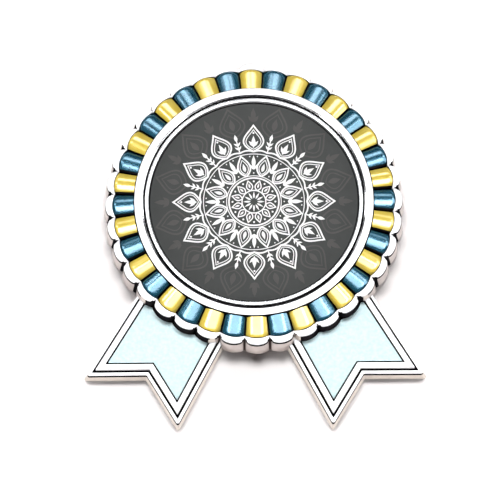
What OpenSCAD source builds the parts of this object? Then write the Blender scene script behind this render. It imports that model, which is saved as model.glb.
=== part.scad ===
// Award-rosette brooch: a cast plate with enamel pleats round a printed insert, two swallow-tailed
// ribbon tails and a pin in the hollow back. It lies on its back with the rosette's top towards +Y.

/* [Rosette] */
// Radius to the tips of the scalloped edge
rosette_tip_r = 17.98; // [17.6:0.01:18.6]
// Number of pleats, gold and blue in turn
pleat_count = 36; // [30:2:40]
// Roundness of the scallops: lobe radius over half the distance between lobes
lobe_fullness = 2; // [1.1:0.05:2.6]
// Height of the plain flange outside the pleats
flange_top = 3.35; // [3.2:0.05:3.6]

/* [Pleats] */
// Radius to the outer ends of the pleats
pleat_tip_r = 16.97; // [16.6:0.01:17.1]
// Roundness of the pleats' outer ends, measured as for the scallops
pleat_end_fullness = 2.6; // [1.2:0.05:3]
// Height of the pleats' crests
pleat_crest = 4.0; // [3.8:0.05:4.2]
// Half angle of the half-round pleat, which widens outwards
pleat_flare = 5.3; // [4.9:0.1:6]
// Width of the dark valley between two pleats
valley_w = 0.2; // [0.12:0.01:0.3]
// Size of the bevel at a pleat's outer end
pleat_bevel = 0.35; // [0.2:0.05:0.5]
// Height of the floor that the pleats lie on
pleat_floor = 2.8; // [2.7:0.05:3]

/* [Centre] */
// Outer radius of the wide ring
ring_outer_r = 14.25; // [14.1:0.01:14.4]
// Inner radius of the wide ring, where the dark groove starts
ring_inner_r = 13.4; // [13.3:0.01:13.6]
// Height of the wide ring
ring_top = 4.05; // [3.9:0.05:4.3]
// Bevel along both edges of the wide ring
ring_bevel = 0.12; // [0.05:0.01:0.2]
// Height of the groove's floor
groove_floor = 3.2; // [3.1:0.05:3.4]
// Outer radius of the thin ring round the insert
insert_ring_outer_r = 13.05; // [12.9:0.01:13.15]
// Height of the thin ring
insert_ring_top = 4.0; // [3.8:0.05:4.2]
// Radius of the printed disc
disc_r = 12.5; // [12.3:0.01:12.6]
// Height of the printed disc's face
disc_top = 3.62; // [3.4:0.02:3.8]
// Height of the seat under the insert
seat_floor = 2.9; // [2.8:0.05:3]

/* [Ribbon tails] */
// Angle of each tail from the downward direction
tail_angle = 29.5; // [26:0.5:33]
// Distance by which each tail's middle line passes outside the rosette's centre
tail_offset = 0.9; // [0.5:0.1:1.3]
// Half width of a tail at its hidden root
tail_root_half_w = 5.86; // [5.5:0.02:6.2]
// Distance from the rosette's centre to a tail's root
tail_root_at = 12; // [11.5:0.5:13]
// Half width of a tail at its end
tail_end_half_w = 6.37; // [6:0.01:6.8]
// Distance from the rosette's centre to the two points of a tail
tail_end_at = 28.33; // [26:0.01:30]
// Depth of the notch between the two points
tail_notch = 3.63; // [2.5:0.01:4.5]
// Height of the outer rim
tail_rim_top = 1.6; // [1.5:0.05:1.8]
// Width of the outer rim
tail_rim_w = 0.5; // [0.4:0.02:0.6]
// Width of the dark line between rim and border
tail_groove_w = 0.2; // [0.12:0.01:0.25]
// Height of the floor under the dark line and under the enamel
tail_floor = 1.35; // [1.2:0.05:1.45]
// Height of the raised border
tail_border_top = 2.0; // [1.9:0.05:2.2]
// Width of the raised border
tail_border_w = 0.72; // [0.6:0.02:0.9]
// Height of the enamel panel
tail_field_top = 1.88; // [1.7:0.02:1.95]

/* [Back and pin] */
// Radius of the hollow back
pocket_r = 12.8; // [12.4:0.1:13]
// Depth of the hollow back
pocket_depth = 2.1; // [1.9:0.05:2.2]
// Length of the pin's bar
pin_bar_l = 21.5; // [19:0.5:22]
// Width of the pin's bar
pin_bar_w = 3.2; // [2.6:0.1:4]
// Thickness of the pin's bar
pin_bar_t = 0.6; // [0.5:0.05:0.7]
// Radius of the pin's stem
pin_stem_r = 0.4; // [0.3:0.05:0.45]
// Height of the stem's middle above the resting surface
pin_stem_z = 0.85; // [0.8:0.05:0.9]
// Distance of the knuckle and of the catch from the middle
pin_reach = 8.8; // [7.5:0.1:9]

/* [Fit] */
// Clearance between two pieces
piece_gap = 0.05; // [0.03:0.01:0.08]

/* [Hidden] */
$fn = 96;
pleat_pitch = 360 / pleat_count;
cut_over = 1;

knuckle_r = 0.7;
catch_l = 1.6;
catch_w = 2.4;
catch_wall = 0.6;
catch_lip = 0.15;
stem_clearance = 0.1;
stem_tip_l = 1.6;
stem_tip_r = 0.08;

rim_inset = tail_rim_w;
border_inset = tail_rim_w + tail_groove_w;
field_inset = border_inset + tail_border_w;

// Corners of a tail that points down, clockwise from the root's left corner
tail_outline = [
    [tail_offset - tail_root_half_w, -tail_root_at],
    [tail_offset + tail_root_half_w, -tail_root_at],
    [tail_offset + tail_end_half_w, -tail_end_at],
    [tail_offset, tail_notch - tail_end_at],
    [tail_offset - tail_end_half_w, -tail_end_at]
];

// The lowest corner is the left point of the right-hand tail
tail_low_y = -tail_end_at * cos(tail_angle) + (tail_offset - tail_end_half_w) * sin(tail_angle);
rosette_y = -(rosette_tip_r + tail_low_y) / 2;

silver = [0.86, 0.86, 0.88];
bright_silver = [0.8, 0.83, 0.85];
steel = [0.72, 0.73, 0.75];
gold = [0.92, 0.78, 0.32];
blue = [0.16, 0.4, 0.58];
pale_blue = [0.87, 0.95, 0.97];
charcoal = [0.34, 0.35, 0.35];

function two_digits(number) = str(number < 10 ? "0" : "", number);
function is_gold(index) = index % 2 == 0;
function pleat_name(index) =
    str(is_gold(index) ? "pleat_gold_" : "pleat_blue_", two_digits(floor(index / 2) + 1));

function unit(v) = v / norm(v);
function inward(a, b) = let (along = unit(b - a)) [along[1], -along[0]];

// Corners of a clockwise outline moved inwards by the same distance from every side
function inset(points, distance) = [
    for (i = [0 : len(points) - 1])
        let (
            before = points[(i + len(points) - 1) % len(points)],
            after = points[(i + 1) % len(points)],
            side_a = inward(before, points[i]),
            side_b = inward(points[i], after)
        )
        points[i] + distance * (side_a + side_b) / (1 + side_a * side_b)
];

function scallop_swell(fullness) = fullness * sin(pleat_pitch / 2);
function scallop_centre_r(tip_r, fullness) = tip_r / (1 + scallop_swell(fullness));

// Round outline with one lobe for each pleat
module scalloped_outline(tip_r, fullness) {
    centre_r = scallop_centre_r(tip_r, fullness);
    circle(r = centre_r);
    for (i = [0 : pleat_count - 1])
        rotate(i * pleat_pitch)
            translate([0, centre_r])
                circle(r = centre_r * scallop_swell(fullness));
}

module rosette_plate() {
    difference() {
        linear_extrude(flange_top)
            scalloped_outline(rosette_tip_r, lobe_fullness);
        translate([0, 0, pleat_floor])
            linear_extrude(cut_over)
                scalloped_outline(pleat_tip_r + piece_gap, pleat_end_fullness);
    }
}

module ring_wall() {
    difference() {
        rotate_extrude()
            polygon([
                [0, 0],
                [ring_outer_r, 0],
                [ring_outer_r, ring_top - ring_bevel],
                [ring_outer_r - ring_bevel, ring_top],
                [ring_inner_r + ring_bevel, ring_top],
                [ring_inner_r, ring_top - ring_bevel],
                [ring_inner_r, groove_floor],
                [0, groove_floor]
            ]);
        translate([0, 0, seat_floor])
            cylinder(r = insert_ring_outer_r + piece_gap, h = cut_over);
    }
}

// Turns a tail that points down into the right-hand tail, or for side -1 the left-hand one
module tail_place(side) {
    mirror([side < 0 ? 1 : 0, 0, 0])
        rotate(tail_angle)
            children();
}

// Closed border between two insets of the tail's outline
module tail_border(from_inset, to_inset, height) {
    linear_extrude(height)
        difference() {
            polygon(inset(tail_outline, from_inset));
            polygon(inset(tail_outline, to_inset));
        }
}

module ribbon_tail() {
    linear_extrude(tail_floor)
        polygon(tail_outline);
    tail_border(0, rim_inset, tail_rim_top);
    tail_border(border_inset, field_inset, tail_border_top);
}

module casting() {
    color(silver)
        translate([0, rosette_y, 0])
            difference() {
                union() {
                    rosette_plate();
                    ring_wall();
                    tail_place(1) ribbon_tail();
                    tail_place(-1) ribbon_tail();
                }
                translate([0, 0, -cut_over])
                    cylinder(r = pocket_r, h = pocket_depth + cut_over);
            }
}

// Floor plan of the pleat at the top: between two valleys, with a round outer end
module pleat_outline() {
    centre_r = scallop_centre_r(pleat_tip_r, pleat_end_fullness);
    far_r = rosette_tip_r;
    near_r = disc_r;
    half_gap = valley_w / 2 / cos(pleat_pitch / 2);
    slope = tan(pleat_pitch / 2);
    intersection() {
        polygon([
            [-near_r * slope + half_gap, near_r],
            [-far_r * slope + half_gap, far_r],
            [far_r * slope - half_gap, far_r],
            [near_r * slope - half_gap, near_r]
        ]);
        translate([0, centre_r])
            circle(r = centre_r * scallop_swell(pleat_end_fullness));
    }
}

// Half-round bar that widens outwards with a level crest
module pleat_barrel() {
    translate([0, 0, pleat_crest])
        rotate([-(90 + pleat_flare), 0, 0])
            translate([0, 0, disc_r])
                cylinder(
                    r1 = disc_r * tan(pleat_flare),
                    r2 = 2 * disc_r * tan(pleat_flare),
                    h = disc_r
                );
}

// Ring-shaped space of the pleats, bevelled along its outer top edge
module pleat_space() {
    near_r = ring_outer_r + piece_gap;
    rotate_extrude()
        polygon([
            [near_r, pleat_floor + piece_gap],
            [pleat_tip_r, pleat_floor + piece_gap],
            [pleat_tip_r, pleat_crest - pleat_bevel],
            [pleat_tip_r - pleat_bevel, pleat_crest],
            [near_r, pleat_crest]
        ]);
}

module pleat(index) {
    color(is_gold(index) ? gold : blue)
        translate([0, rosette_y, 0])
            rotate(-index * pleat_pitch)
                intersection() {
                    linear_extrude(ring_top)
                        pleat_outline();
                    pleat_barrel();
                    pleat_space();
                }
}

module tail_field(side) {
    color(pale_blue)
        translate([0, rosette_y, tail_floor + piece_gap])
            linear_extrude(tail_field_top - tail_floor - piece_gap)
                difference() {
                    tail_place(side)
                        polygon(inset(tail_outline, field_inset + piece_gap));
                    scalloped_outline(rosette_tip_r + piece_gap, lobe_fullness);
                }
}

module insert_ring() {
    bottom = seat_floor + piece_gap;
    color(bright_silver)
        translate([0, rosette_y, bottom])
            difference() {
                cylinder(r = insert_ring_outer_r, h = insert_ring_top - bottom);
                translate([0, 0, -cut_over])
                    cylinder(r = disc_r + piece_gap, h = insert_ring_top + cut_over);
            }
}

module centre_disc() {
    bottom = seat_floor + piece_gap;
    color(charcoal)
        translate([0, rosette_y, bottom])
            cylinder(r = disc_r, h = disc_top - bottom);
}

// Block under the bar, from the given height up to the bar
module pin_block(x, length, width, bottom) {
    bar_bottom = pocket_depth - piece_gap - pin_bar_t;
    translate([x - length / 2, -width / 2, bottom])
        cube([length, width, bar_bottom - bottom + pin_bar_t / 2]);
}

// Hook under the stem's tip, open on one side
module pin_catch() {
    slot_half_h = pin_stem_r + stem_clearance;
    slot_depth = catch_w / 2 - catch_wall;
    difference() {
        pin_block(pin_reach, catch_l, catch_w, pin_stem_z - slot_half_h - catch_lip);
        translate([pin_reach - catch_l, -catch_w, pin_stem_z - slot_half_h])
            cube([2 * catch_l, catch_w + slot_depth, 2 * slot_half_h]);
    }
}

module pin_stem() {
    translate([-pin_reach, 0, pin_stem_z])
        rotate([0, 90, 0]) {
            cylinder(r = pin_stem_r, h = 2 * pin_reach);
            translate([0, 0, 2 * pin_reach])
                cylinder(r1 = pin_stem_r, r2 = stem_tip_r, h = stem_tip_l);
        }
}

module brooch_pin() {
    bar_bottom = pocket_depth - piece_gap - pin_bar_t;
    color(steel)
        translate([0, rosette_y, 0]) {
            translate([-pin_bar_l / 2, -pin_bar_w / 2, bar_bottom])
                cube([pin_bar_l, pin_bar_w, pin_bar_t]);
            translate([-pin_reach, pin_bar_w / 2, pin_stem_z])
                rotate([90, 0, 0])
                    cylinder(r = knuckle_r, h = pin_bar_w);
            pin_block(-pin_reach, knuckle_r, pin_bar_w, pin_stem_z);
            pin_stem();
            pin_catch();
        }
}

casting();
for (index = [0 : pleat_count - 1])
    pleat(index);
tail_field(-1);  // tail_field_left
tail_field(1);  // tail_field_right
insert_ring();
centre_disc();
brooch_pin();
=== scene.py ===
import math

import bpy
from mathutils import Matrix, Vector

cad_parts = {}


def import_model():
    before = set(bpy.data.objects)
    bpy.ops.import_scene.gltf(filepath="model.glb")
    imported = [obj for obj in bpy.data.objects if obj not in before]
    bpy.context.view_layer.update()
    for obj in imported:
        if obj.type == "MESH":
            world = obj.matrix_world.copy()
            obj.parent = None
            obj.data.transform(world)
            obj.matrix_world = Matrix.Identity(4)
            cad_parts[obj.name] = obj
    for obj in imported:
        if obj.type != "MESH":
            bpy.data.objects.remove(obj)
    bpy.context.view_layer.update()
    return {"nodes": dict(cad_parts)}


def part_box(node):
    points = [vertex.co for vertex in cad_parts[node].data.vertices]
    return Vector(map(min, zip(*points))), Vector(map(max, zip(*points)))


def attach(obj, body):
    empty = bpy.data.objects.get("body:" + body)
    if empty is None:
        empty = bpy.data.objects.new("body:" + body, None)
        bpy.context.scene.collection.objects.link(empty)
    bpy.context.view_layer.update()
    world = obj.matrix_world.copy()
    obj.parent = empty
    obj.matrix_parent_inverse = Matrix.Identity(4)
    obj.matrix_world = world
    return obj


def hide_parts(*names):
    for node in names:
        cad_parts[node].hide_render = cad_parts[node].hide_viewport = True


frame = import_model()

# Sizes are in millimetres unless a name says otherwise, heights above the surface that the brooch lies on.
MM = 0.001
BODY = "root"

DISC_LOW, DISC_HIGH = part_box("centre_disc")
RING_LOW, RING_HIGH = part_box("insert_ring")
_, CAST_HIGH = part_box("casting")
CENTRE_Y = (DISC_LOW.y + DISC_HIGH.y) / 2 / MM
DISC_R = (DISC_HIGH.x - DISC_LOW.x) / 2 / MM
DISC_TOP = DISC_HIGH.z / MM
INSERT_BOTTOM = DISC_LOW.z / MM
INSERT_RING_R = (RING_HIGH.x - RING_LOW.x) / 2 / MM
INSERT_RING_TOP = RING_HIGH.z / MM
RING_TOP = CAST_HIGH.z / MM
ROSETTE_TIP_R = CAST_HIGH.y / MM - CENTRE_Y

PIECE_GAP = 0.05

# Rounded edges and corners have this many steps, the insert and its ring this many columns
ARC_STEPS = 5
INSERT_COLUMNS = 288

# Edges that bend by more degrees than this stay crisp
SHARP = 35
CAST_SHARP = 25
PLEAT_SHARP = 50

# Noise between these two values runs through the whole range of a colour or a roughness. Colours vary with a
# grain that is BROAD_GRAIN times as coarse.
NOISE_LOW = 0.3
NOISE_HIGH = 0.7
BROAD_GRAIN = 6

# Print on the disc. The ink reaches PRINT_BITE into it, and the tops of twin leaves lie TWIN_STEP apart.
PRINT_COUNT = 12
PRINT_BITE = 0.01
TWIN_STEP = 0.0007

# Rosette. The radius of a lobe's arc is LOBE_FULLNESS times half the pitch. A black line of painted shade runs under
# the flange's rounded edge, and between the lobes are a crease in the flange and a notch with a mark of painted shade
# in the wall.
PLEAT_COUNT = 36
PITCH = 2 * math.pi / PLEAT_COUNT
LOBE_FULLNESS = 2.0
FLANGE_TOP = 3.35
EDGE_ROUND = 0.17
EDGE_LINE_H = 0.46
EDGE_LINE_SLANT = 0.03
WALL_DRAFT = 0.24
BACK_ROUND = 0.45
ROSETTE_TURN = math.radians(-0.9)
COLUMNS_PER_LOBE = 20
CREASE_DEPTH = 0.1
CREASE_HALF_TURN = math.radians(0.9)
NOTCH_CUT = 0.5
NOTCH_SHARPNESS = 8
NOTCH_MARK_TURN = math.radians(0.9)
NOTCH_MARK_LOW = 0.9
NOTCH_MARK_REACH = 0.55
NOTCH_MARK_FAR_Y = 10
NOTCH_UPPER_H = 1
NOTCH_BROWN_BELOW_Y = -15
NOTCH_BROWN_SHARE = 0.6

# Pleats. The crest falls by PLEAT_DROP towards the outer end, and the valleys between them widen a little.
# ENAMEL_LEAN, in degrees, only changes how they shine.
PLEAT_TIP_R = 16.9
PLEAT_END_FULLNESS = 2.6
PLEAT_CREST = 3.82
PLEAT_DROP = 0.29
PLEAT_FLOOR = 2.8
PLEAT_CREST_BEND = 0.59
PLEAT_SIDE_BEND = 0.14
PLEAT_SIDE_ROUND = 0.06
PLEAT_END_W = 0.38
PLEAT_END_R = 0.9
PLEAT_END_GAP = 0.06
# Columns of black painted shade at the foot of a side pleat's lower flank
PLEAT_SHADED_COLUMNS = 5
PLEAT_NEAR_GAP = 0.13
VALLEY_W = 0.19
VALLEY_END_W = 0.21
ENAMEL_LEAN = 9.5

# Rings and seat
RING_OUTER_R = 14.25
RING_INNER_R = 13.4
RING_BEVEL = 0.15
RING_BEVEL_SLOPE = math.radians(30)
GROOVE_FLOOR = 3.2
SEAT_FLOOR = 2.9

# Hollow back
POCKET_R = 12.8
POCKET_DEPTH = 2.1

# Ribbon tails. A value that ends in AT is a distance from the rosette's centre along the tail.
TAIL_ANGLE = math.radians(29.5)
TAIL_OFFSET = 0.9
TAIL_ROOT_AT = 13.3
TAIL_END_AT = 28.25
TAIL_END_HALF_W = 6.37
TAIL_WAIST_AT = 12
TAIL_WAIST_HALF_W = 5.86
TAIL_FLARE = (TAIL_END_HALF_W - TAIL_WAIST_HALF_W) / (TAIL_END_AT - TAIL_WAIST_AT)
TAIL_ROOT_HALF_W = TAIL_END_HALF_W - TAIL_FLARE * (TAIL_END_AT - TAIL_ROOT_AT)
TAIL_NOTCH = 3.63
TAIL_FLOOR = 1.35
TAIL_RIM_TOP = 1.6
TAIL_RIM_W = 0.5
TAIL_GROOVE_W = 0.25
TAIL_BORDER_TOP = 2.0
TAIL_BORDER_W = 0.67
TAIL_FIELD_TOP = 1.92
TAIL_CRISP_R = 0.06
FIELD_UNDER_LOBES = 0.04

# Camera, from edges measured in the 500 by 500 photograph
PHOTO_SIZE = 500
DISC_CENTRE_PX = (254.3, 201.7)
MM_PER_PX = 0.1193
CAMERA_DISTANCE = 490
CAMERA_ELEVATION = math.radians(71.5)
CAMERA_ROLL = math.radians(-0.61)
SENSOR_W = 36

# Lamps stand this many metres from the brooch
LAMP_DISTANCE = 0.8


def noise_input(nodes, links, scale, detail, stretch=(1, 1, 1)):
    """Noise texture on object coordinates; scale is in cells per millimetre."""
    coordinates = nodes.new("ShaderNodeTexCoord")
    mapping = nodes.new("ShaderNodeMapping")
    mapping.inputs["Scale"].default_value = [scale / MM * s for s in stretch]
    noise = nodes.new("ShaderNodeTexNoise")
    noise.inputs["Scale"].default_value = 1.0
    noise.inputs["Detail"].default_value = detail
    links.new(coordinates.outputs["Object"], mapping.inputs["Vector"])
    links.new(mapping.outputs["Vector"], noise.inputs["Vector"])
    return noise.outputs["Fac"]


def mapped(nodes, links, value, low, high):
    """A number between low and high that follows the noise."""
    spread = nodes.new("ShaderNodeMapRange")
    spread.inputs["From Min"].default_value = NOISE_LOW
    spread.inputs["From Max"].default_value = NOISE_HIGH
    spread.inputs["To Min"].default_value = low
    spread.inputs["To Max"].default_value = high
    links.new(value, spread.inputs["Value"])
    return spread.outputs["Result"]


def tinted(nodes, links, value, low, high):
    """A colour between low and high that follows the noise."""
    ramp = nodes.new("ShaderNodeValToRGB")
    ramp.color_ramp.elements[0].position = NOISE_LOW
    ramp.color_ramp.elements[1].position = NOISE_HIGH
    ramp.color_ramp.elements[0].color = (*low, 1)
    ramp.color_ramp.elements[1].color = (*high, 1)
    links.new(value, ramp.inputs["Fac"])
    return ramp.outputs["Color"]


def outward_lean(nodes, links, degrees):
    """Normal that leans away from the rosette's centre, as on enamel that sinks towards its outer end."""
    coordinates = nodes.new("ShaderNodeTexCoord")
    mapping = nodes.new("ShaderNodeMapping")
    mapping.inputs["Location"].default_value = (0, -CENTRE_Y * MM, 0)
    mapping.inputs["Scale"].default_value = (1, 1, 0)
    distance = nodes.new("ShaderNodeVectorMath")
    distance.operation = "LENGTH"
    fall = nodes.new("ShaderNodeMath")
    fall.operation = "MULTIPLY"
    fall.inputs[1].default_value = -math.tan(math.radians(degrees))
    tilt = nodes.new("ShaderNodeBump")
    tilt.inputs["Strength"].default_value = 1.0
    tilt.inputs["Distance"].default_value = 1.0
    links.new(coordinates.outputs["Object"], mapping.inputs["Vector"])
    links.new(mapping.outputs["Vector"], distance.inputs[0])
    links.new(distance.outputs["Value"], fall.inputs[0])
    links.new(fall.outputs["Value"], tilt.inputs["Height"])
    return tilt.outputs["Normal"]


def surface(name, low, high, roughness, metallic, grain, bump, stretch=(1, 1, 1), lean=0.0, **fixed):
    """Material with a colour that varies broadly, and with roughness and bumps that vary with a fine grain.

    The grain is in cells per millimetre, the bump's height in millimetres and the lean in degrees. The other
    named values go to the shader's sockets of those names.
    """
    material = bpy.data.materials.new(name)
    material.use_nodes = True
    nodes, links = material.node_tree.nodes, material.node_tree.links
    shader = nodes["Principled BSDF"]
    shader.inputs["Metallic"].default_value = metallic
    for socket, value in fixed.items():
        shader.inputs[socket.replace("_", " ")].default_value = value
    broad = noise_input(nodes, links, grain / BROAD_GRAIN, detail=2.0)
    links.new(tinted(nodes, links, broad, low, high), shader.inputs["Base Color"])
    fine = noise_input(nodes, links, grain, detail=4.0, stretch=stretch)
    links.new(mapped(nodes, links, fine, *roughness), shader.inputs["Roughness"])
    bump_node = nodes.new("ShaderNodeBump")
    bump_node.inputs["Strength"].default_value = 1.0
    bump_node.inputs["Distance"].default_value = bump * MM
    links.new(fine, bump_node.inputs["Height"])
    links.new(bump_node.outputs["Normal"], shader.inputs["Normal"])
    if lean:
        links.new(outward_lean(nodes, links, lean), bump_node.inputs["Normal"])
        links.new(bump_node.outputs["Normal"], shader.inputs["Coat Normal"])
    return material


SILVER = surface("silver_plate", (0.9, 0.9, 0.93), (0.97, 0.97, 0.99), (0.1, 0.17), 1.0, 3.0, 0.003)
MATT_SILVER = surface("matt_silver", (0.88, 0.88, 0.91), (0.96, 0.96, 0.98), (0.3, 0.38), 0.6, 5.0, 0.004)
# The walls are the same metal as the plated top; their darker, warmer colour is painted shade and painted reflection
# of the floor
WALL = surface("cast_wall_painted_shade", (0.42, 0.375, 0.36), (0.48, 0.43, 0.41), (0.4, 0.5), 0.1, 5.0, 0.006)
TAIL_WALL = surface("cast_tail_wall_painted_shade", (0.52, 0.47, 0.43), (0.58, 0.53, 0.48), (0.4, 0.5), 0.1, 5.0, 0.006)
# Dark brown painted shade for the notches low on the wall
SHADE_BROWN = surface("painted_shade_brown", (0.05, 0.035, 0.032), (0.08, 0.055, 0.05), (0.5, 0.6), 0.1, 5.0, 0.006)
SATIN = surface("satin_back", (0.7, 0.68, 0.69), (0.8, 0.78, 0.79), (0.34, 0.46), 1.0, 6.0, 0.012)
# Near-black painted shade, for grooves, gaps between parts and dark lines where shade falls
SHADE_BLACK = surface("painted_shade_black", (0.004, 0.004, 0.005), (0.012, 0.011, 0.012), (0.6, 0.8), 0.0, 4.0, 0.01,
               Specular_IOR_Level=0.0)
BRIGHT = surface("bright_ring", (0.88, 0.9, 0.93), (0.95, 0.97, 0.99), (0.14, 0.2), 0.8, 3.0, 0.003)
STEEL = surface("pin_steel", (0.6, 0.61, 0.63), (0.7, 0.71, 0.73), (0.22, 0.34), 1.0, 5.0, 0.004, (1, 6, 6))
GOLD = surface("gold_enamel", (0.87, 0.64, 0.08), (0.94, 0.73, 0.14), (0.18, 0.25), 0.3, 4.0, 0.006,
               lean=ENAMEL_LEAN, Coat_Weight=1.0, Coat_Roughness=0.13, Coat_IOR=2.3)
BLUE = surface("blue_enamel", (0.02, 0.18, 0.3), (0.035, 0.24, 0.37), (0.18, 0.25), 0.75, 6.0, 0.013,
               lean=ENAMEL_LEAN, Coat_Weight=1.0, Coat_Roughness=0.15, Coat_IOR=2.2)
PALE = surface("pale_enamel", (0.59, 0.79, 0.83), (0.72, 0.87, 0.89), (0.35, 0.5), 0.0, 15.0, 0.02,
               Specular_IOR_Level=0.1)
CHARCOAL = surface("charcoal_print", (0.057, 0.06, 0.059), (0.062, 0.065, 0.064), (0.5, 0.6), 0.0, 4.0, 0.002,
                   Specular_IOR_Level=0.05)
GHOST = surface("ghost_print", (0.079, 0.077, 0.075), (0.087, 0.085, 0.083), (0.5, 0.6), 0.0, 4.0, 0.002,
                Specular_IOR_Level=0.05)
INK = surface("white_ink", (0.8, 0.8, 0.8), (0.86, 0.86, 0.86), (0.5, 0.6), 0.0, 4.0, 0.002,
              Specular_IOR_Level=0.1)
PAPER = surface("pale_floor", (0.93, 0.895, 0.89), (0.95, 0.915, 0.91), (0.8, 0.9), 0.0, 0.2, 0.01,
                Specular_IOR_Level=0.0)

CAST_MATERIALS = [SILVER, MATT_SILVER, SHADE_BLACK, SATIN, WALL, TAIL_WALL, SHADE_BROWN]
PLATED, MATT, PAINTED_SHADE, BACK, SIDE, TAIL_SIDE, BROWN_SHADE = range(len(CAST_MATERIALS))


def mesh_object(name, points, faces, materials, face_materials=None, sharp=SHARP):
    """New object from points in millimetres round the rosette's centre; edges sharper than sharp stay crisp."""
    mesh = bpy.data.meshes.new(name)
    mesh.from_pydata([(x * MM, (y + CENTRE_Y) * MM, z * MM) for x, y, z in points], [], faces)
    for material in materials:
        mesh.materials.append(material)
    if face_materials:
        mesh.polygons.foreach_set("material_index", face_materials)
    mesh.update()
    new = bpy.data.objects.new(name, mesh)
    bpy.context.collection.objects.link(new)
    smooth(new, sharp)
    return new


def smooth(piece, sharp):
    """Smooth shading, except at edges that bend by more than sharp, in degrees."""
    piece.data.shade_smooth()
    piece.data.set_sharp_from_angle(angle=math.radians(sharp))


def combine(piece, other, operation):
    """Boolean of two closed meshes; the result replaces piece's mesh, and other is deleted."""
    modifier = piece.modifiers.new("combine", "BOOLEAN")
    modifier.operation = operation
    modifier.solver = "EXACT"
    modifier.object = other
    result = piece.evaluated_get(bpy.context.evaluated_depsgraph_get())
    mesh = bpy.data.meshes.new_from_object(result)
    piece.modifiers.clear()
    piece.data = mesh
    mesh.name = piece.name
    bpy.data.objects.remove(other)


def finish_piece(piece, slot, *nodes):
    """Puts a piece in the place of the solid that it shows."""
    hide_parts(*nodes)
    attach(piece, BODY)


def from_lobe(angle):
    """Turn from the middle of the nearest lobe."""
    return (angle - ROSETTE_TURN + PITCH / 2) % PITCH - PITCH / 2


def from_notch(angle):
    """Turn from the nearest notch between two lobes, without a sign."""
    return abs((angle - ROSETTE_TURN) % PITCH - PITCH / 2)


def scallop_r(angle, tip_r, fullness, inset):
    """Distance from the centre to the scalloped outline, moved inwards by inset."""
    turn = from_lobe(angle)
    swell = fullness * math.sin(PITCH / 2)
    lobe_at = tip_r / (1 + swell)
    lobe_r = lobe_at * swell
    notch_at = lobe_at * math.cos(PITCH / 2) + math.sqrt(lobe_r**2 - (lobe_at * math.sin(PITCH / 2)) ** 2)
    reach = []
    across = lobe_at * math.sin(turn)
    if abs(across) < lobe_r - inset:
        reach.append(lobe_at * math.cos(turn) + math.sqrt((lobe_r - inset) ** 2 - across**2))
    short_turn = PITCH / 2 - abs(turn)
    beside = notch_at * math.sin(short_turn)
    if beside < inset:
        reach.append(notch_at * math.cos(short_turn) - math.sqrt(inset**2 - beside**2))
    return min(reach)


def edge(inset, cut=0.0):
    """Outline of the rosette moved inwards by inset, with notches that reach deeper by cut."""
    def reach(angle):
        share = abs(from_lobe(angle)) / (PITCH / 2)
        return scallop_r(angle, ROSETTE_TIP_R, LOBE_FULLNESS, inset) - cut * share**NOTCH_SHARPNESS
    return reach


def cell(inset):
    """Outline of the recess for the enamel pleats, moved inwards by inset."""
    return lambda angle: scallop_r(angle, PLEAT_TIP_R, PLEAT_END_FULLNESS, inset)


def flat(value):
    """The same radius or height all round."""
    return lambda angle: value


def creased(height, share=1.0):
    """A height that dips by the share of the crease's depth between each two lobes."""
    def level(angle):
        return height - share * CREASE_DEPTH * max(0, 1 - from_notch(angle) / CREASE_HALF_TURN)
    return level


def station_points(reach, height, angles):
    """Points of one station round the centre; the angles are clockwise from +Y."""
    return [(reach(angle) * math.sin(angle), reach(angle) * math.cos(angle), height(angle)) for angle in angles]


def lathe(name, stations, columns, materials):
    """Closed solid from stations (radius function, height function, material of the band that follows).

    It starts and ends in the middle, with stations of radius 0.
    """
    points, faces, face_materials = [], [], []
    rings = []
    for reach, height, _ in stations:
        angles = [ROSETTE_TURN + 2 * math.pi * k / columns for k in range(columns)]
        if reach(0) == 0:
            angles = [0]
        rings.append(list(range(len(points), len(points) + len(angles))))
        points += station_points(reach, height, angles)
    for (a, b), (_, _, material) in zip(zip(rings, rings[1:]), stations):
        for k in range(columns):
            after = (k + 1) % columns
            if len(a) == 1:
                face = (a[0], b[k], b[after])
            elif len(b) == 1:
                face = (a[after], a[k], b[0])
            else:
                face = (a[after], a[k], b[k], b[after])
            faces.append(face)
            face_materials.append(material)
    return mesh_object(name, points, faces, materials, face_materials)


def closed_lathe(name, stations, columns, materials):
    """Ring-shaped solid: the last station joins the first."""
    points, faces, face_materials = [], [], []
    for reach, height, _ in stations:
        points += station_points(reach, height, [2 * math.pi * k / columns for k in range(columns)])
    for row, (_, _, material) in enumerate(stations):
        a, b = row * columns, (row + 1) % len(stations) * columns
        for k in range(columns):
            after = (k + 1) % columns
            faces.append((a + after, a + k, b + k, b + after))
            face_materials.append(material)
    return mesh_object(name, points, faces, materials, face_materials)


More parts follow.
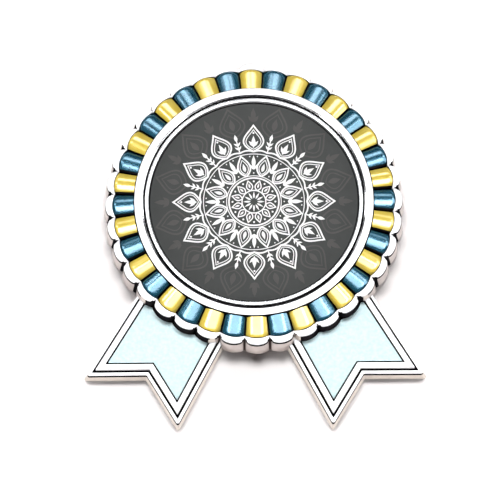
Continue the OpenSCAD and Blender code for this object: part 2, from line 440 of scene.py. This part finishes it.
def rosette_body():
    """Scalloped plate with hollow back, flange, pleat cells, wide ring, groove and seat, as one solid.

    The wide ring ends in a hairline step black with painted shade and a plated bevel. The grooves, the cell floors
    and the line under the flange's edge are black with painted shade too.
    """
    lip = 0.06
    hairline = 0.06
    ring_round = 0.06
    pocket_round = 0.35
    bevel_drop = RING_BEVEL * math.tan(RING_BEVEL_SLOPE)
    seat_r = INSERT_RING_R + PIECE_GAP
    stations = [(flat(0), flat(POCKET_DEPTH), BACK)]
    stations += [(flat(POCKET_R - pocket_round + a), flat(POCKET_DEPTH - z), BACK)
                 for a, z in arc_steps(pocket_round)]
    stations += [(flat(POCKET_R), flat(lip), BACK), (flat(POCKET_R + lip), flat(0), BACK)]
    stations += [(edge(BACK_ROUND - a), flat(z), SIDE) for a, z in arc_steps(BACK_ROUND)]
    line_top = FLANGE_TOP - EDGE_ROUND
    # The band under the flange's rounded edge is a black line of painted shade
    stations += [
        (edge(WALL_DRAFT - EDGE_LINE_SLANT, NOTCH_CUT), flat(line_top - EDGE_LINE_H), PAINTED_SHADE),
        (edge(WALL_DRAFT, NOTCH_CUT), flat(line_top - EDGE_LINE_H / 2), PAINTED_SHADE),
    ]
    stations += [(edge(WALL_DRAFT + a, NOTCH_CUT - a), creased(line_top + z, z / EDGE_ROUND), MATT if z else PAINTED_SHADE)
                 for z, a in arc_steps(EDGE_ROUND)]
    stations += [
        (cell(-lip), creased(FLANGE_TOP), MATT),
        (cell(0), creased(FLANGE_TOP - lip), PAINTED_SHADE),
        (cell(0), flat(PLEAT_FLOOR), PAINTED_SHADE),
        (flat(RING_OUTER_R), flat(PLEAT_FLOOR), PAINTED_SHADE),
    ]
    stations += [(flat(RING_OUTER_R - a), flat(RING_TOP - ring_round + z), MATT) for z, a in arc_steps(ring_round)]
    stations += [
        (flat(RING_INNER_R + hairline), flat(RING_TOP), MATT),
        (flat(RING_INNER_R + hairline / 2), flat(RING_TOP - hairline), PAINTED_SHADE),
        (flat(RING_INNER_R), flat(RING_TOP - hairline), PLATED),
        (flat(RING_INNER_R - RING_BEVEL), flat(RING_TOP - hairline - bevel_drop), PAINTED_SHADE),
        (flat(RING_INNER_R - RING_BEVEL), flat(GROOVE_FLOOR), PAINTED_SHADE),
        (flat(seat_r), flat(GROOVE_FLOOR), PAINTED_SHADE),
        (flat(seat_r), flat(SEAT_FLOOR), PAINTED_SHADE),
        (flat(0), flat(SEAT_FLOOR), PAINTED_SHADE),
    ]
    return lathe("rosette", stations, PLEAT_COUNT * COLUMNS_PER_LOBE, CAST_MATERIALS)


def arc_steps(radius):
    """Quarter circle as pairs: how far along from the start, and how far across."""
    turns = [math.pi / 2 * i / ARC_STEPS for i in range(ARC_STEPS + 1)]
    return [(radius * math.sin(t), radius * (1 - math.cos(t))) for t in turns]


def inset_outline(points, distance):
    """Corners of a clockwise outline moved inwards by the same distance from every side."""
    def inward(a, b):
        along = (b - a).normalized()
        return Vector((along.y, -along.x))

    moved = []
    for i, at in enumerate(points):
        side_a = inward(points[i - 1], at)
        side_b = inward(at, points[(i + 1) % len(points)])
        moved.append(at + distance * (side_a + side_b) / (1 + side_a.dot(side_b)))
    return moved


def round_corner(before, at, after, radius):
    """Points of an arc that rounds off one corner."""
    back, ahead = (before - at).normalized(), (after - at).normalized()
    half = back.angle(ahead) / 2
    middle = at + (back + ahead).normalized() * radius / math.sin(half)
    start = at + back * radius / math.tan(half) - middle
    end = at + ahead * radius / math.tan(half) - middle
    sweep = math.pi - 2 * half
    shares = [i / ARC_STEPS for i in range(ARC_STEPS + 1)]
    return [middle + (math.sin((1 - s) * sweep) * start + math.sin(s * sweep) * end) / math.sin(sweep)
            for s in shares]


def tail_loop(inset, corner_r, side):
    """Outline of one tail with rounded corners, measured from the rosette's centre and moved inwards by inset."""
    corners = [Vector(c) for c in (
        (TAIL_OFFSET - TAIL_ROOT_HALF_W, -TAIL_ROOT_AT),
        (TAIL_OFFSET + TAIL_ROOT_HALF_W, -TAIL_ROOT_AT),
        (TAIL_OFFSET + TAIL_END_HALF_W, -TAIL_END_AT),
        (TAIL_OFFSET, TAIL_NOTCH - TAIL_END_AT),
        (TAIL_OFFSET - TAIL_END_HALF_W, -TAIL_END_AT),
    )]
    corners = inset_outline(corners, inset)
    loop = []
    for i, at in enumerate(corners):
        loop += round_corner(corners[i - 1], at, corners[(i + 1) % len(corners)], corner_r)
    turn = Matrix.Rotation(TAIL_ANGLE, 2)
    placed = [turn @ p for p in loop]
    return [(side * p.x, p.y) for p in placed]


def loft(name, loops, materials, side):
    """Closed solid through loops (points, height, material of the band that follows), with flat ends."""
    points, faces, face_materials = [], [], []
    count = len(loops[0][0])
    for loop, z, _ in loops:
        points += [(x, y, z) for x, y in loop]
    for row, (_, _, material) in enumerate(loops[:-1]):
        for k in range(count):
            a, b = row * count + k, row * count + (k + 1) % count
            face = (b, a, a + count, b + count)
            faces.append(face if side < 0 else face[::-1])
            face_materials.append(material)
    bottom = tuple(range(count))
    top = tuple(range(len(points) - count, len(points)))
    faces += [bottom[::-1], top] if side < 0 else [bottom, top[::-1]]
    face_materials += [loops[0][2], loops[-1][2]]
    return mesh_object(name, points, faces, materials, face_materials)


def tail_body(side):
    """Ribbon tail: base with outer rim, dark line, raised border and recess for the enamel."""
    soft, crisp = 0.22, TAIL_CRISP_R
    base_round, rim_round, border_round = 0.1, 0.15, 0.1
    rim_lip, border_lip = 0.03, 0.06
    foot, wall_draft = -0.1, 0.12
    # The dark line under the rim, the groove and the foot of the border's wall are black with painted shade
    line_top, line_h = TAIL_RIM_TOP - rim_round, 0.58
    border_dark_h = 0.2
    border_inset = TAIL_RIM_W + TAIL_GROOVE_W
    field_inset = border_inset + TAIL_BORDER_W
    # Rows of inset, height, corner radius and the material of the band that follows
    rows = [(foot + base_round - a, z, soft, TAIL_SIDE) for a, z in arc_steps(base_round)]
    rows += [(wall_draft, line_top - line_h, soft, PAINTED_SHADE)]
    rows += [(wall_draft + a, line_top + z, soft, MATT if z else PAINTED_SHADE) for z, a in arc_steps(rim_round)]
    rows += [
        (TAIL_RIM_W - rim_lip, TAIL_RIM_TOP, crisp, MATT),
        (TAIL_RIM_W, TAIL_RIM_TOP - rim_lip, crisp, PAINTED_SHADE),
        (TAIL_RIM_W, TAIL_FLOOR, crisp, PAINTED_SHADE),
        (border_inset, TAIL_FLOOR, crisp, PAINTED_SHADE),
        (border_inset, TAIL_FLOOR + border_dark_h, crisp, MATT),
    ]
    rows += [(border_inset + a, TAIL_BORDER_TOP - border_round + z, crisp, MATT)
             for z, a in arc_steps(border_round)]
    rows += [
        (field_inset - border_lip, TAIL_BORDER_TOP, crisp, MATT),
        (field_inset, TAIL_BORDER_TOP - border_lip, crisp, PAINTED_SHADE),
        (field_inset, TAIL_FLOOR, crisp, PAINTED_SHADE),
    ]
    loops = [(tail_loop(inset, corner_r, side), z, material) for inset, z, corner_r, material in rows]
    return loft("tail_part", loops, CAST_MATERIALS, side)


def scalloped_block(inset, bottom, top):
    """Solid with the rosette's outline moved inwards by inset, for cutting."""
    reach = edge(inset)
    stations = [(flat(0), flat(bottom), 0), (reach, flat(bottom), 0), (reach, flat(top), 0), (flat(0), flat(top), 0)]
    return lathe("cutter", stations, PLEAT_COUNT * COLUMNS_PER_LOBE, [SHADE_BLACK])


def paint_wall_shade(body):
    """Darkens the notches between the lobes and the wall above each enamel panel.

    The darkening is painted shade. The wall above a tail's border gets the colour of the tail's own wall.
    """
    notch_slope, wall_slope = 0.95, 0.35
    half_w = TAIL_ROOT_HALF_W - TAIL_RIM_W - TAIL_GROOVE_W - TAIL_BORDER_W
    for face in body.data.polygons:
        at = face.center / MM - Vector((0, CENTRE_Y, 0))
        angle = math.atan2(at.x, at.y)
        if at.z < NOTCH_MARK_LOW or abs(at.xy.length - edge(0)(angle)) > NOTCH_MARK_REACH:
            continue
        brown = at.z <= FLANGE_TOP - NOTCH_UPPER_H and at.y < NOTCH_BROWN_BELOW_Y
        mark_turn = NOTCH_MARK_TURN * (NOTCH_BROWN_SHARE if brown else 1)
        # Painted shade in the notch: brown low on the wall near the bottom, black higher up
        if from_notch(angle) < mark_turn and face.normal.z < notch_slope and at.y < NOTCH_MARK_FAR_Y:
            face.material_index = BROWN_SHADE if brown else PAINTED_SHADE
        if at.z < TAIL_FLOOR:
            continue
        for side in (1, -1):
            across = side * at.x * math.cos(TAIL_ANGLE) + at.y * math.sin(TAIL_ANGLE) - TAIL_OFFSET
            down = side * at.x * math.sin(TAIL_ANGLE) - at.y * math.cos(TAIL_ANGLE)
            if face.normal.z < wall_slope and abs(across) < half_w + TAIL_BORDER_W and down > RING_OUTER_R:
                face.material_index = PAINTED_SHADE if abs(across) < half_w else TAIL_SIDE


def casting():
    """Rosette plate and both tails as one cast piece."""
    body = rosette_body()
    for side in (1, -1):
        combine(body, tail_body(side), "UNION")
    paint_wall_shade(body)
    smooth(body, CAST_SHARP)
    finish_piece(body, "cast_metal", "casting")


def tail_field(side, node):
    """Enamel panel of a tail, ending just under the edge of the rosette's scallops."""
    seam, lip = 0.17, 0.04
    inset = TAIL_RIM_W + TAIL_GROOVE_W + TAIL_BORDER_W + seam
    bottom = TAIL_FLOOR + PIECE_GAP
    # The panel's sides are black with painted shade
    rows = [(inset, bottom, 1), (inset, TAIL_FIELD_TOP - lip, 0), (inset + lip, TAIL_FIELD_TOP, 0)]
    loops = [(tail_loop(a, TAIL_CRISP_R, side), z, material) for a, z, material in rows]
    panel = loft("enamel_" + node, loops, [PALE, SHADE_BLACK], side)
    combine(panel, scalloped_block(FIELD_UNDER_LOBES, 0, FLANGE_TOP), "DIFFERENCE")
    smooth(panel, SHARP)
    finish_piece(panel, "pale_enamel", node)


def pleat(index):
    """Enamel pleat: a low barrel with an arched outer end, closed on all sides.

    At the sides of the rosette the foot of its lower flank carries black painted shade.
    """
    middle_columns, middle_rows, end_rows = 16, 9, 6
    side_steps = (0, 0.08, 0.3, 0.6)
    is_gold = index % 2 == 0
    node = f"pleat_{'gold' if is_gold else 'blue'}_{index // 2 + 1:02d}"
    swell = PLEAT_END_FULLNESS * math.sin(PITCH / 2)
    end_at = PLEAT_TIP_R / (1 + swell)
    end_r = end_at * swell - PLEAT_END_GAP
    near_r = RING_OUTER_R + PLEAT_NEAR_GAP
    slope = math.tan(PITCH / 2)
    corner_r = end_at * math.cos(PITCH / 2) + math.sqrt(end_r**2 - (end_at * math.sin(PITCH / 2)) ** 2)
    end_half_w = corner_r * slope - VALLEY_END_W / 2
    near_half_w = near_r * slope - VALLEY_W / 2
    bottom = PLEAT_FLOOR + PIECE_GAP

    def height(x, half_w, share, from_end):
        aside = x / half_w
        top = PLEAT_CREST - PLEAT_DROP * share
        top -= half_w * (PLEAT_CREST_BEND * aside**2 / 2 + PLEAT_SIDE_BEND * aside**4 / 4)
        fall = min((half_w - abs(x)) / PLEAT_SIDE_ROUND, 1)
        top -= PLEAT_SIDE_ROUND * (1 - math.sqrt(1 - (1 - fall) ** 2))
        over = max(0, PLEAT_END_W - from_end)
        return top - PLEAT_END_R + math.sqrt(PLEAT_END_R**2 - over**2)

    side_share = PLEAT_SIDE_ROUND / near_half_w
    side_spread = [-1 + side_share * t for t in side_steps]
    spread = side_spread + [(2 * i / middle_columns - 1) * (1 - side_share) for i in range(middle_columns + 1)]
    spread += [-u for u in reversed(side_spread)]
    end_share = PLEAT_END_W / (PLEAT_TIP_R - near_r)
    along = [(1 - end_share) * j / middle_rows for j in range(middle_rows + 1)]
    along += [1 - end_share * t / end_rows for t in range(end_rows - 1, -1, -1)]
    points = []
    for u in spread:
        near_x, far_x = u * near_half_w, u * end_half_w
        near_y = math.sqrt(near_r**2 - near_x**2)
        far_y = end_at + math.sqrt(end_r**2 - far_x**2)
        for v in along:
            x, y = near_x + (far_x - near_x) * v, near_y + (far_y - near_y) * v
            half_w = near_half_w + (end_half_w - near_half_w) * v
            points.append((x, y, height(x, half_w, v, (1 - v) * (far_y - near_y))))
    across, size = len(spread) - 1, len(along)
    faces = [(i * size + j, i * size + j + 1, (i + 1) * size + j + 1, (i + 1) * size + j)
             for i in range(across) for j in range(size - 1)]
    angle = index * PITCH + ROSETTE_TURN
    # Painted shade on the foot of the lower flank, wider towards the sides of the rosette
    shaded = round(PLEAT_SHADED_COLUMNS * abs(math.sin(angle)))
    low_columns = range(shaded) if math.sin(angle) < 0 else range(across - shaded, across)
    face_materials = [int(i in low_columns) for i in range(across) for _ in range(size - 1)]
    rim = list(range(size))
    rim += [i * size + size - 1 for i in range(1, across + 1)]
    rim += [across * size + j for j in range(size - 2, -1, -1)]
    rim += [i * size for i in range(across - 1, 0, -1)]
    # The walls carry black painted shade, apart from the one at the inner end
    start = len(points)
    points += [(points[k][0], points[k][1], bottom) for k in rim]
    for k in range(len(rim)):
        after = (k + 1) % len(rim)
        faces.append((rim[after], rim[k], start + k, start + after))
        face_materials.append(int(k < len(rim) - across))
    faces.append(tuple(range(start + len(rim) - 1, start - 1, -1)))
    face_materials.append(0)
    turn = -index * PITCH - ROSETTE_TURN
    cos_t, sin_t = math.cos(turn), math.sin(turn)
    placed = [(x * cos_t - y * sin_t, x * sin_t + y * cos_t, z) for x, y, z in points]
    piece = mesh_object("enamel_" + node, placed, [f[::-1] for f in faces], [GOLD if is_gold else BLUE, SHADE_BLACK],
                        face_materials, PLEAT_SHARP)
    finish_piece(piece, "gold_enamel" if is_gold else "blue_enamel", node)


def insert_ring():
    """Thin bright ring with a rounded top round the printed disc."""
    inner = DISC_R + PIECE_GAP
    top_round = 0.16
    stations = [(flat(inner), flat(INSERT_BOTTOM), 0), (flat(INSERT_RING_R), flat(INSERT_BOTTOM), 0)]
    stations += [(flat(INSERT_RING_R - a), flat(INSERT_RING_TOP - top_round + z), 0) for z, a in arc_steps(top_round)]
    stations += [(flat(inner + top_round - a), flat(INSERT_RING_TOP - z), 0) for a, z in arc_steps(top_round)]
    piece = closed_lathe("bezel_ring", stations, INSERT_COLUMNS, [BRIGHT])
    finish_piece(piece, "bright_ring", "insert_ring")


def centre_disc():
    """Printed disc. Its print ends just short of the edge, where a band of black painted shade runs round it."""
    lip = 0.06
    unprinted = 0.12
    stations = [
        (flat(0), flat(INSERT_BOTTOM), 1),
        (flat(DISC_R), flat(INSERT_BOTTOM), 1),
        (flat(DISC_R), flat(DISC_TOP - lip), 1),
        (flat(DISC_R - lip), flat(DISC_TOP), 1),
        (flat(DISC_R - unprinted), flat(DISC_TOP), 0),
        (flat(0), flat(DISC_TOP), 0),
    ]
    piece = lathe("printed_disc", stations, INSERT_COLUMNS, [CHARCOAL, SHADE_BLACK])
    finish_piece(piece, "printed_insert", "centre_disc")


class Print:
    """Flat ink on the disc: strokes and filled shapes as thin closed solids in one mesh.

    Shapes are made on the upright axis and turned into place, with radii from the disc's centre.
    """

    def __init__(self):
        self.points, self.faces = [], []
        self.top = DISC_TOP

    def layer(self, thickness):
        """Shapes that follow stand this much above the disc."""
        self.top = DISC_TOP + thickness

    def _sheet(self, outline):
        """Points of an outline at the bottom and at the top of the ink; returns the first index."""
        start = len(self.points)
        self.points += [(x, y, DISC_TOP - PRINT_BITE) for x, y in outline]
        self.points += [(x, y, self.top) for x, y in outline]
        return start

    def fill(self, outline):
        """Solid shape inside an anticlockwise outline."""
        count = len(outline)
        start = self._sheet(outline)
        self.faces.append(tuple(range(start + count, start + 2 * count)))
        self.faces.append(tuple(range(start + count - 1, start - 1, -1)))
        for k in range(count):
            a, b = start + k, start + (k + 1) % count
            self.faces.append((a, b, b + count, a + count))

    def stroke(self, line, width, closed=True):
        """Line of even width along the points."""
        count = len(line)
        places = [Vector(p) for p in line]
        left, right = [], []
        for k, at in enumerate(places):
            before = places[k - 1] if closed or k else at
            after = places[(k + 1) % count] if closed or k < count - 1 else at
            along = (after - before).normalized()
            aside = Vector((-along.y, along.x)) * width / 2
            left.append(at + aside)
            right.append(at - aside)
        start = self._sheet([(p.x, p.y) for p in left + right])
        low_l, low_r, top_l, top_r = (start + count * n for n in range(4))
        for k in range(count if closed else count - 1):
            n = (k + 1) % count
            self.faces.append((top_r + k, top_r + n, top_l + n, top_l + k))
            self.faces.append((low_r + k, low_l + k, low_l + n, low_r + n))
            self.faces.append((low_r + k, low_r + n, top_r + n, top_r + k))
            self.faces.append((low_l + n, low_l + k, top_l + k, top_l + n))
        if not closed:
            n = count - 1
            self.faces.append((low_l, low_r, top_r, top_l))
            self.faces.append((low_r + n, low_l + n, top_l + n, top_r + n))

    def twins(self, shape, lean, root_r, turn):
        """Two leaves that lean to both sides from one root. Each lies a little lower, so no two tops coincide."""
        top = self.top
        for side, lower in ((1, TWIN_STEP), (-1, 2 * TWIN_STEP)):
            self.top = top - lower
            self.fill(turned(turned(shape, side * lean, (0, root_r)), turn))
        self.top = top

    def mesh(self, name, material):
        """Makes the shapes one piece. It replaces no solid, because it lies on the disc."""
        piece = mesh_object(name, self.points, self.faces, [material])
        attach(piece, BODY)


def round_shape(radius, at_r, steps):
    """Circle on the upright axis, at_r from the centre."""
    turns = [2 * math.pi * k / steps for k in range(steps)]
    return [(radius * math.cos(t), at_r + radius * math.sin(t)) for t in turns]


def leaf(near, far, half_w, belly=0.75, point=1.2, steps=14):
    """Pointed petal on the upright axis. A smaller belly is nearer to the centre."""
    side = []
    for k in range(steps + 1):
        t = k / steps
        side.append((half_w * math.sin(math.pi * t**belly) ** point if 0 < k < steps else 0, near + (far - near) * t))
    return side + [(-x, y) for x, y in side[-2:0:-1]]


def turned(shape, angle, about=(0, 0)):
    """Shape turned anticlockwise about a point."""
    cos_a, sin_a = math.cos(angle), math.sin(angle)
    return [(about[0] + (x - about[0]) * cos_a - (y - about[1]) * sin_a,
             about[1] + (x - about[0]) * sin_a + (y - about[1]) * cos_a) for x, y in shape]


def rosette_print():
    """Twelvefold flower ornament in white ink."""
    ink = Print()
    fine, line, bold = 0.1, 0.14, 0.19
    step = 2 * math.pi / PRINT_COUNT

    ink.layer(0.010)
    for radius, width in ((1.42, line), (2.98, bold), (3.26, fine), (6.02, fine)):
        ink.stroke(round_shape(radius, 0, 96), width)
    scallops, wave_steps = 24, 480
    wave = []
    for k in range(wave_steps):
        at = 2 * math.pi * k / wave_steps
        radius = 6.32 + 0.16 * abs(math.sin(scallops / 2 * at))
        wave.append((-radius * math.sin(at), radius * math.cos(at)))
    ink.stroke(wave, bold)
    for k in range(PRINT_COUNT):
        on, between = k * step, (k + 0.5) * step
        ink.layer(0.012)
        ink.fill(turned(leaf(0.4, 1.3, 0.11), on))
        ink.stroke(turned(leaf(1.45, 2.72, 0.36), between), line)
        ink.fill(turned(leaf(1.75, 2.4, 0.11), between))
        ink.fill(turned(round_shape(0.12, 2.56, 10), on))
        ink.fill(turned(round_shape(0.09, 3.62, 8), on))
        ink.layer(0.014)
        ink.stroke(turned(leaf(3.3, 5.9, 0.74, 0.8, 1.0), between), bold)
        ink.stroke(turned(leaf(3.55, 5.4, 0.48, 0.8, 1.0), between), fine)
        ink.fill(turned(leaf(3.85, 4.95, 0.2), between))
        ink.fill(turned(leaf(4.2, 5.86, 0.24, 0.9), on))
        ink.twins(leaf(4.05, 4.85, 0.13), math.radians(34), 4.05, on)
        for side in (1, -1):
            ink.fill(turned(round_shape(0.08, 5.72, 8), on + side * math.radians(4.6)))
        ink.layer(0.016)
        ink.stroke(turned(leaf(6.35, 9.7, 1.2, 0.72, 1.25, 20), on), bold)
        ink.stroke(turned(leaf(6.62, 9.15, 0.9, 0.72, 1.25, 20), on), fine)
        ink.fill(turned(leaf(6.8, 8.35, 0.25, 0.8), on))
        ink.twins(leaf(7.0, 7.9, 0.15), math.radians(38), 6.95, on)
        ink.fill(turned(round_shape(0.12, 8.68, 10), on))
        ink.stroke(turned([(0, 6.45), (0, 7.8)], between), line, closed=False)
        for root_r in (6.75, 7.25):
            ink.twins(leaf(root_r, root_r + 0.62, 0.11), math.radians(42), root_r, between)
        ink.layer(0.017)
        ink.fill(turned(leaf(7.75, 8.75, 0.2, 0.9), between))
    ink.mesh("print_white", INK)


def ghost_print():
    """Larger leaves round and behind the flower, hardly lighter than the disc."""
    ink = Print()
    broad, fine = 0.2, 0.12
    step = 2 * math.pi / PRINT_COUNT
    ink.layer(0.006)
    for k in range(PRINT_COUNT):
        on, between = k * step, (k + 0.5) * step
        ink.stroke(turned(leaf(8.3, 12.1, 1.5, 0.72, 1.2, 20), between), broad)
        ink.stroke(turned(leaf(8.9, 11.4, 1.0, 0.72, 1.2, 20), between), fine)
        ink.fill(turned(leaf(9.2, 10.8, 0.34, 0.8), between))
        ink.fill(turned(leaf(10.2, 11.9, 0.3, 0.9), on))
        ink.twins(leaf(10.1, 11.1, 0.22), math.radians(40), 10.1, on)
    ink.mesh("print_ghost", GHOST)


def brooch_pin():
    """The pin keeps its solid and gets its steel."""
    pin = frame["nodes"]["brooch_pin"]
    pin.data.materials.clear()
    pin.data.materials.append(STEEL)


def floor():
    """White surface that the brooch lies on."""
    half = 3000
    corners = [(-half, -half, 0), (half, -half, 0), (half, half, 0), (-half, half, 0)]
    plane = mesh_object("floor", corners, [(0, 1, 2, 3)], [PAPER])


def softbox(name, from_zenith, sideways, width, depth, radiance, colour=(1, 1, 1)):
    """Rectangular light that lights the dull surfaces, with its sides in metres.

    It leans from the zenith towards +Y and sideways towards +X, in degrees.
    """
    lamp = bpy.data.lights.new(name, "AREA")
    lamp.shape = "RECTANGLE"
    lamp.size, lamp.size_y = width, depth
    lamp.energy = radiance * math.pi * width * depth
    lamp.color = colour
    holder = bpy.data.objects.new(name, lamp)
    bpy.context.collection.objects.link(holder)
    lean, aside = math.radians(from_zenith), math.radians(sideways)
    direction = Vector((math.sin(aside), math.sin(lean) * math.cos(aside), math.cos(lean) * math.cos(aside)))
    holder.location = direction * LAMP_DISTANCE
    holder.rotation_euler = direction.to_track_quat("Z", "Y").to_euler()
    holder.visible_camera = False
    holder.visible_glossy = False
    return holder


def without_bounce(holder, deepest):
    """What the light falls on doesn't throw it on, so the shadows stay deep. Rays deeper than deepest get none."""
    holder.data.use_nodes = True
    nodes, links = holder.data.node_tree.nodes, holder.data.node_tree.links
    path = nodes.new("ShaderNodeLightPath")
    first = nodes.new("ShaderNodeMath")
    first.operation = "LESS_THAN"
    first.inputs[1].default_value = deepest + 0.5
    links.new(path.outputs["Ray Depth"], first.inputs[0])
    links.new(first.outputs["Value"], nodes["Emission"].inputs["Strength"])


def reflector(name, leans, sides, radiance):
    """Card that shows in metal and gloss, between two leans towards +Y and two towards +X, in degrees."""
    lean, aside = sum(leans) / 2, sum(sides) / 2
    width = 2 * LAMP_DISTANCE * math.tan(math.radians(sides[1] - sides[0]) / 2)
    depth = 2 * LAMP_DISTANCE * math.tan(math.radians(leans[1] - leans[0]) / 2) * math.cos(math.radians(aside))
    card = softbox(name, lean, aside, width, depth, radiance)
    card.visible_glossy = True
    card.visible_diffuse = False
    without_bounce(card, 2)


def world(seen, reflected, scattered):
    """Background: pale where the camera sees it, dark in reflections, darker still as light on dull surfaces."""
    sky = bpy.data.worlds.new("studio")
    bpy.context.scene.world = sky
    sky.use_nodes = True
    nodes, links = sky.node_tree.nodes, sky.node_tree.links
    path = nodes.new("ShaderNodeLightPath")
    shader = nodes["Background"]
    shader.inputs["Color"].default_value = (*reflected, 1)
    for output, colour in (("Is Diffuse Ray", scattered), ("Is Camera Ray", seen)):
        other = nodes.new("ShaderNodeBackground")
        other.inputs["Color"].default_value = (*colour, 1)
        mix = nodes.new("ShaderNodeMixShader")
        links.new(path.outputs[output], mix.inputs["Fac"])
        links.new(shader.outputs[0], mix.inputs[1])
        links.new(other.outputs[0], mix.inputs[2])
        shader = mix
    links.new(shader.outputs[0], nodes["World Output"].inputs["Surface"])


def lights():
    """Cards that show in the metal, then lights for the dull surfaces, then the world."""
    reflector("card_overhead", (-8, 22), (-24.5, 24.5), 3.2)
    reflector("card_overhead_low", (-32, -8), (-28, 28), 2.8)
    reflector("card_left", (-13, 7), (-46, -26), 6.0)
    reflector("card_left_low", (-28, -13), (-39, -29), 5.5)
    reflector("card_left_high", (18, 42), (-52, -44), 5.0)
    reflector("card_right", (-13, 9), (26, 48), 6.0)
    reflector("card_right_low", (-28, -13), (29, 39), 5.5)
    reflector("card_right_high", (20, 42), (44, 52), 5.0)
    reflector("card_far_right", (-21, 37), (52, 73), 2.2)
    reflector("card_behind", (45, 58), (-45, 45), 1.1)
    reflector("card_behind_left", (44, 58), (-30, -5), 2.3)
    reflector("card_behind_right", (44, 58), (0, 28), 2.3)
    softbox("key", 24.6, 0, 0.45, 0.2, 25.0)
    softbox("fill", -10, 0, 1.4, 1.4, 0.02, (1, 0.5, 0.5))
    without_bounce(softbox("low_left", -62.6, -67.7, 0.16, 0.16, 72.0), 1)
    without_bounce(softbox("low_right", -62.6, 67.7, 0.16, 0.16, 72.0), 1)
    without_bounce(softbox("front", -89, 0, 1.0, 0.02, 100.0, (1, 0.94, 0.91)), 1)
    without_bounce(softbox("left", 0, -89, 0.02, 1.0, 18.0), 1)
    without_bounce(softbox("right", 0, 89, 0.02, 1.0, 14.0), 1)
    world((0.96, 0.95, 0.95), (0.015, 0.015, 0.017), (0.008, 0.006, 0.006))


def camera():
    """Looks at the point that lies in the middle of the photograph."""
    lens = SENSOR_W * CAMERA_DISTANCE / (PHOTO_SIZE * MM_PER_PX)
    right = Vector((1, 0, 0))
    back = Vector((0, -math.cos(CAMERA_ELEVATION), math.sin(CAMERA_ELEVATION)))
    up = back.cross(right)
    disc_middle = Vector((0, CENTRE_Y, DISC_TOP))
    place = disc_middle + back * CAMERA_DISTANCE
    off_x = (PHOTO_SIZE / 2 - DISC_CENTRE_PX[0]) * MM_PER_PX
    off_y = (DISC_CENTRE_PX[1] - PHOTO_SIZE / 2) * MM_PER_PX
    aim = disc_middle + right * off_x + up * off_y
    data = bpy.data.cameras.new("camera")
    data.sensor_width = SENSOR_W
    data.lens = lens
    data.clip_start, data.clip_end = 0.01, 20
    holder = bpy.data.objects.new("camera", data)
    bpy.context.collection.objects.link(holder)
    look = (place - aim).to_track_quat("Z", "Y")
    roll = Matrix.Rotation(CAMERA_ROLL, 3, "Z").to_quaternion()
    holder.rotation_mode = "QUATERNION"
    holder.rotation_quaternion = look @ roll
    holder.location = place * MM
    bpy.context.scene.camera = holder


camera()
casting()
for number in range(PLEAT_COUNT):
    pleat(number)
tail_field(-1, "tail_field_left")
tail_field(1, "tail_field_right")
insert_ring()
centre_disc()
rosette_print()
ghost_print()
brooch_pin()
floor()
lights()

bpy.context.scene.view_settings.view_transform = "Standard"
bpy.context.scene.view_settings.look = "None"
